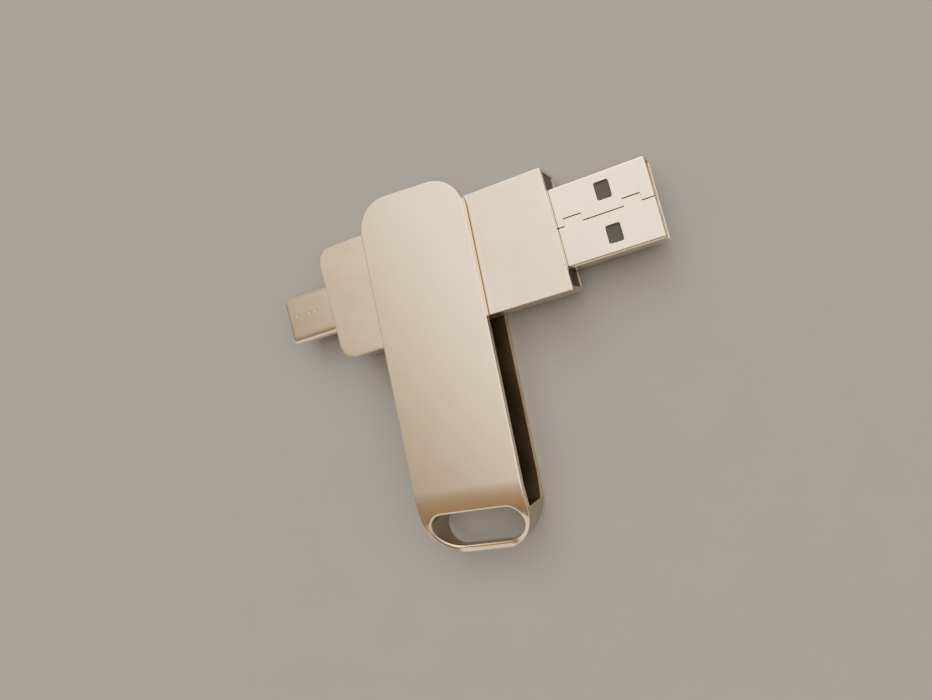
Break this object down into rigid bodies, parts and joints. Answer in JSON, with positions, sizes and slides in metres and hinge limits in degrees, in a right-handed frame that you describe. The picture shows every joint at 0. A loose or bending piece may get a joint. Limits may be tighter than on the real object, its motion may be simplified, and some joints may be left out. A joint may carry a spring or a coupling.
{
  "type": "usb flash drive",
  "caption": "Swivel flash drive: metal case with a USB-A plug and a Type-C plug at its ends, turning inside a U-shaped metal cover with a lanyard slot.",
  "frame": {"origin": "on the pivot axis, at the outer face of the cover's lower leaf, on which the drive lies", "axes": "+X along the case towards the USB-A plug, +Z along the pivot axis through both leaves, +Y across the case away from the cover's nose"},
  "size_m": [0.0624, 0.0565, 0.0096],
  "materials": {
    "cover_metal": "satin pearl-nickel plating, warm, with bright edges",
    "case_metal": "fine satin pearl-nickel plating",
    "stud_steel": "turned steel",
    "washer_plastic": "natural slippery plastic",
    "bezel_plastic": "black moulding, fine satin",
    "carrier_plastic": "black moulding",
    "board_laminate": "green solder mask",
    "chip_moulding": "black epoxy moulding",
    "tinned_leads": "tinned",
    "crystal_can": "bright can",
    "capacitor_ceramic": "fired ceramic",
    "resistor_film": "black glaze",
    "plug_steel": "bright nickel-plated pressed steel",
    "tongue_plastic": "grey moulding",
    "contact_gold": "gold flash",
    "mouth_plastic": "black moulding",
    "latch_steel": "sprung stainless steel"
  },
  "bodies": {
    "drive": {"housing_case": "case_metal", "front_bezel": "bezel_plastic", "upper_carrier": "carrier_plastic", "lower_carrier": "carrier_plastic", "circuit_board": "board_laminate", "flash_chip": "chip_moulding", "flash_chip_leads": "tinned_leads", "controller_chip": "chip_moulding", "controller_leads": "tinned_leads", "clock_crystal": "crystal_can", "voltage_regulator": "chip_moulding", "regulator_leads": "tinned_leads", "capacitors": "capacitor_ceramic", "resistors": "resistor_film", "usb_a_shell": "plug_steel", "usb_a_insulator": "tongue_plastic", "usb_a_contacts": "contact_gold", "usb_c_shell": "plug_steel", "usb_c_insulator": "mouth_plastic", "usb_c_latch_plate": "latch_steel", "usb_c_upper_contacts": "contact_gold", "usb_c_lower_contacts": "contact_gold"},
    "cover": {"swivel_cover": "cover_metal", "upper_pivot_stud": "stud_steel", "lower_pivot_stud": "stud_steel", "upper_friction_washer": "washer_plastic", "lower_friction_washer": "washer_plastic"}
  },
  "joints": [
    {"name": "cover_swivel", "type": "hinge", "parent": "drive", "child": "cover", "pos_m": [0, 0, 0.0048], "axis": [0, 0, 1], "continuous": true}
  ]
}
